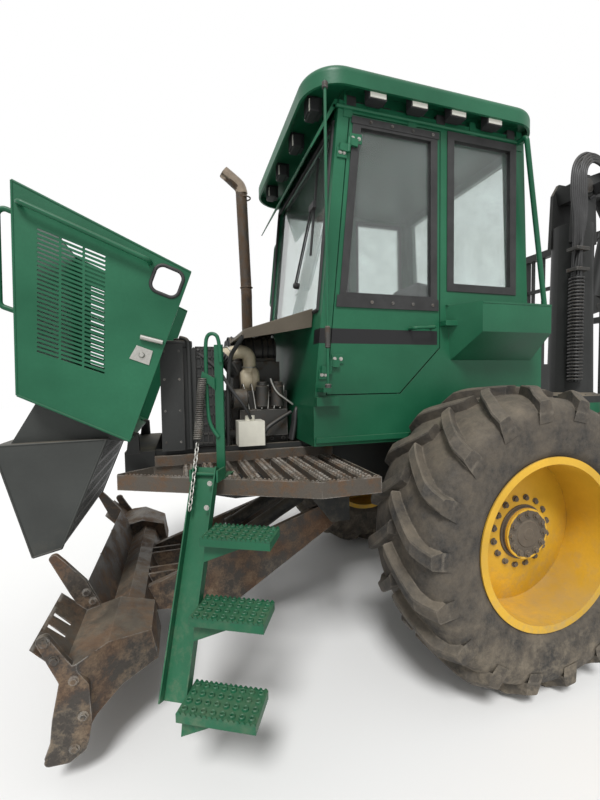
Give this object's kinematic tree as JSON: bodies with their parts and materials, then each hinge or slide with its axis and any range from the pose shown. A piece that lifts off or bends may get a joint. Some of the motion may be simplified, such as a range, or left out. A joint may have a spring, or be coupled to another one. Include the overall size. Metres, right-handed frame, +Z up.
{
  "type": "forestry forwarder",
  "caption": "Articulated forestry forwarder with a cab, an open tilting hood, a front blade, a folding ladder, bogie axles, a load space with stakes and a loading crane with a grapple",
  "frame": {"origin": "on the ground, midway along the machine and across it; the centre plane of the frames lies at Y = 0", "axes": "+X forwards, +Y to the machine's left, +Z up"},
  "size_m": [9.5002, 2.7938, 4.4091],
  "materials": {
    "green_paint": "dull gloss, dusty",
    "yellow_paint": "worn gloss",
    "dark_paint": "worn matt",
    "bare_steel": "scraped and rusty",
    "rusty_steel": "rusty",
    "cast_iron": "oily",
    "tyre": "dusty rubber",
    "chrome": "polished",
    "glass": "clear",
    "lamp": "dull",
    "seat_fabric": "woven",
    "black_plastic": "grained",
    "milky_plastic": "yellowed"
  },
  "bodies": {
    "front_frame": {"front_chassis": "dark_paint", "front_axle": "dark_paint", "deck": "bare_steel", "engine": "cast_iron", "radiator": "dark_paint", "exhaust": "rusty_steel", "cab_body": "green_paint", "cab_glass": "glass", "cab_roof": "green_paint", "work_lamps": "lamp", "seat": "seat_fabric", "console": "black_plastic", "storage_box": "green_paint", "rear_box": "dark_paint", "handrails": "green_paint", "coolant_tank": "milky_plastic"},
    "wheel_front_left": {"tyre_front_left": "tyre", "rim_front_left": "yellow_paint"},
    "wheel_front_right": {"tyre_front_right": "tyre", "rim_front_right": "yellow_paint"},
    "wheel_bogie_front_left": {"tyre_bogie_front_left": "tyre", "rim_bogie_front_left": "yellow_paint"},
    "wheel_bogie_front_right": {"tyre_bogie_front_right": "tyre", "rim_bogie_front_right": "yellow_paint"},
    "wheel_bogie_rear_left": {"tyre_bogie_rear_left": "tyre", "rim_bogie_rear_left": "yellow_paint"},
    "wheel_bogie_rear_right": {"tyre_bogie_rear_right": "tyre", "rim_bogie_rear_right": "yellow_paint"},
    "hood": {"hood": "green_paint", "nose": "dark_paint"},
    "door": {"door": "dark_paint", "door_glass": "glass"},
    "ladder": {"ladder": "green_paint"},
    "blade": {"blade": "bare_steel"},
    "blade_barrels": {"blade_left_barrel": "dark_paint", "blade_right_barrel": "dark_paint"},
    "blade_rods": {"blade_left_rod": "chrome", "blade_right_rod": "chrome"},
    "middle_joint": {"middle_joint": "dark_paint"},
    "rear_frame": {"rear_chassis": "green_paint", "load_gate": "dark_paint", "bunk": "dark_paint"},
    "bogie_left": {"bogie_left": "green_paint"},
    "bogie_right": {"bogie_right": "green_paint"},
    "steer_left_barrel": {"steer_left_barrel": "dark_paint"},
    "steer_left_rod": {"steer_left_rod": "chrome"},
    "steer_right_barrel": {"steer_right_barrel": "dark_paint"},
    "steer_right_rod": {"steer_right_rod": "chrome"},
    "crane_pillar": {"crane_pillar": "dark_paint"},
    "boom": {"boom": "dark_paint"},
    "boom_barrel": {"boom_barrel": "dark_paint"},
    "boom_rod": {"boom_rod": "chrome"},
    "stick": {"stick": "dark_paint"},
    "stick_barrel": {"stick_barrel": "dark_paint"},
    "stick_rod": {"stick_rod": "chrome"},
    "extension": {"extension": "dark_paint"},
    "hanger": {"hanger": "dark_paint"},
    "rotator": {"rotator": "dark_paint"},
    "jaw_front": {"jaw_front": "dark_paint"},
    "jaw_back": {"jaw_back": "dark_paint"}
  },
  "joints": [
    {"name": "wheel_front_left_spin", "type": "hinge", "parent": "front_frame", "child": "wheel_front_left", "pos_m": [2.04995, 1.045, 0.82], "axis": [0, 1, 0], "continuous": true},
    {"name": "wheel_front_right_spin", "type": "hinge", "parent": "front_frame", "child": "wheel_front_right", "pos_m": [2.04995, -1.045, 0.82], "axis": [0, 1, 0], "continuous": true},
    {"name": "hood_tilt", "type": "hinge", "parent": "front_frame", "child": "hood", "pos_m": [4.11995, 0, 1.375], "axis": [0, -1, 0], "range_deg": [0, 69.5]},
    {"name": "door_swing", "type": "hinge", "parent": "front_frame", "child": "door", "pos_m": [3.04491, 0.716, 1.6], "axis": [0.1001, 0, -0.995], "range_deg": [0, 80]},
    {"name": "ladder_fold", "type": "hinge", "parent": "front_frame", "child": "ladder", "pos_m": [3.75435, 0.8803, 1.235], "axis": [0.8831, -0.4692, 0], "range_deg": [0, 150]},
    {"name": "blade_lift", "type": "hinge", "parent": "front_frame", "child": "blade", "pos_m": [2.84995, 0, 0.79], "axis": [0, -1, 0], "range_deg": [-4, 18]},
    {"name": "blade_barrels_swing", "type": "hinge", "parent": "front_frame", "child": "blade_barrels", "pos_m": [2.97995, 0, 0.9], "axis": [0, -1, 0], "range_deg": [-4.5, 19.7]},
    {"name": "blade_rods_slide", "type": "slide", "parent": "blade_barrels", "child": "blade_rods", "axis": [0.8756, 0, -0.4831], "range_m": [-0.049, 0.012]},
    {"name": "frame_steer", "type": "hinge", "parent": "front_frame", "child": "middle_joint", "pos_m": [0.84995, 0, 0.915], "axis": [0, 0, -1], "range_deg": [-40, 40]},
    {"name": "steer_left_barrel_swing", "type": "hinge", "parent": "front_frame", "child": "steer_left_barrel", "pos_m": [1.56995, 0.33, 0.847], "axis": [0, 0, 1], "range_deg": [-4.5, 4.5]},
    {"name": "steer_left_rod_slide", "type": "slide", "parent": "steer_left_barrel", "child": "steer_left_rod", "axis": [-0.9965, -0.083, 0], "range_m": [-0.179, 0.179]},
    {"name": "steer_right_barrel_swing", "type": "hinge", "parent": "front_frame", "child": "steer_right_barrel", "pos_m": [1.56995, -0.33, 0.847], "axis": [0, 0, 1], "range_deg": [-4.5, 4.5]},
    {"name": "steer_right_rod_slide", "type": "slide", "parent": "steer_right_barrel", "child": "steer_right_rod", "axis": [-0.9965, 0.083, 0], "range_m": [-0.178, 0.178]},
    {"name": "frame_roll", "type": "hinge", "parent": "middle_joint", "child": "rear_frame", "pos_m": [0.64995, 0, 0.915], "axis": [1, 0, 0], "range_deg": [-15, 15]},
    {"name": "bogie_left_rock", "type": "hinge", "parent": "rear_frame", "child": "bogie_left", "pos_m": [-2.65005, 0.6325, 0.72], "axis": [0, 1, 0], "range_deg": [-15, 15]},
    {"name": "wheel_bogie_front_left_spin", "type": "hinge", "parent": "bogie_left", "child": "wheel_bogie_front_left", "pos_m": [-1.92505, 1.045, 0.6], "axis": [0, 1, 0], "continuous": true},
    {"name": "wheel_bogie_rear_left_spin", "type": "hinge", "parent": "bogie_left", "child": "wheel_bogie_rear_left", "pos_m": [-3.37505, 1.045, 0.6], "axis": [0, 1, 0], "continuous": true},
    {"name": "bogie_right_rock", "type": "hinge", "parent": "rear_frame", "child": "bogie_right", "pos_m": [-2.65005, -0.6325, 0.72], "axis": [0, 1, 0], "range_deg": [-15, 15]},
    {"name": "wheel_bogie_front_right_spin", "type": "hinge", "parent": "bogie_right", "child": "wheel_bogie_front_right", "pos_m": [-1.92505, -1.045, 0.6], "axis": [0, 1, 0], "continuous": true},
    {"name": "wheel_bogie_rear_right_spin", "type": "hinge", "parent": "bogie_right", "child": "wheel_bogie_rear_right", "pos_m": [-3.37505, -1.045, 0.6], "axis": [0, 1, 0], "continuous": true},
    {"name": "crane_slew", "type": "hinge", "parent": "rear_frame", "child": "crane_pillar", "pos_m": [0.29995, 0, 1.45], "axis": [0, 0, 1], "range_deg": [-120, 120]},
    {"name": "boom_lift", "type": "hinge", "parent": "crane_pillar", "child": "boom", "pos_m": [0.29995, 0, 3.4], "axis": [0, 1, 0], "range_deg": [-15, 60]},
    {"name": "boom_barrel_swing", "type": "hinge", "parent": "crane_pillar", "child": "boom_barrel", "pos_m": [0.02995, 0, 2.35], "axis": [0, -1, 0], "range_deg": [-9.1, 2.4]},
    {"name": "boom_rod_slide", "type": "slide", "parent": "boom_barrel", "child": "boom_rod", "axis": [-0.2382, 0, 0.9712], "range_m": [-0.126, 0.5]},
    {"name": "stick_fold", "type": "hinge", "parent": "boom", "child": "stick", "pos_m": [-2.50123, 0, 4.15057], "axis": [0, -1, 0], "range_deg": [-25, 90]},
    {"name": "stick_barrel_swing", "type": "hinge", "parent": "boom", "child": "stick_barrel", "pos_m": [-0.84793, 0, 3.94569], "axis": [0, -1, 0], "range_deg": [-0.4, 1.2]},
    {"name": "stick_rod_slide", "type": "slide", "parent": "stick_barrel", "child": "stick_rod", "axis": [-0.9598, 0, 0.2808], "range_m": [-0.102, 0.364]},
    {"name": "stick_extend", "type": "slide", "parent": "stick", "child": "extension", "axis": [-0.9848, 0, -0.1736], "range_m": [0, 1.5]},
    {"name": "hanger_swing", "type": "hinge", "parent": "extension", "child": "hanger", "pos_m": [-4.34283, 0, 3.82585], "axis": [0, 1, 0], "range_deg": [-26, 91]},
    {"name": "grapple_turn", "type": "hinge", "parent": "hanger", "child": "rotator", "pos_m": [-4.34283, 0, 3.49585], "axis": [0, 0, 1], "continuous": true},
    {"name": "jaw_front_swing", "type": "hinge", "parent": "rotator", "child": "jaw_front", "pos_m": [-4.23283, 0, 3.26585], "axis": [0, -1, 0], "range_deg": [0, 55]},
    {"name": "jaw_back_swing", "type": "hinge", "parent": "rotator", "child": "jaw_back", "pos_m": [-4.45282, 0, 3.26585], "axis": [0, 1, 0], "range_deg": [-0.5, 55.5]}
  ],
  "couplings": [
    {"joint": "blade_barrels_swing", "follows": "blade_lift", "ratio": 1.0835},
    {"joint": "blade_rods_slide", "follows": "blade_lift", "m_per_rad": -0.1501},
    {"joint": "steer_left_barrel_swing", "follows": "frame_steer", "ratio": -0.10986},
    {"joint": "steer_left_rod_slide", "follows": "frame_steer", "m_per_rad": -0.254},
    {"joint": "steer_right_barrel_swing", "follows": "frame_steer", "ratio": -0.1095},
    {"joint": "steer_right_rod_slide", "follows": "frame_steer", "m_per_rad": 0.25326},
    {"joint": "boom_barrel_swing", "follows": "boom_lift", "ratio": -0.14838},
    {"joint": "boom_rod_slide", "follows": "boom_lift", "m_per_rad": 0.47556},
    {"joint": "stick_barrel_swing", "follows": "stick_fold", "ratio": 0.011719},
    {"joint": "stick_rod_slide", "follows": "stick_fold", "m_per_rad": 0.23065},
    {"joint": "hanger_swing", "follows": "stick_fold", "ratio": 1},
    {"joint": "jaw_back_swing", "follows": "jaw_front_swing", "ratio": 1}
  ]
}
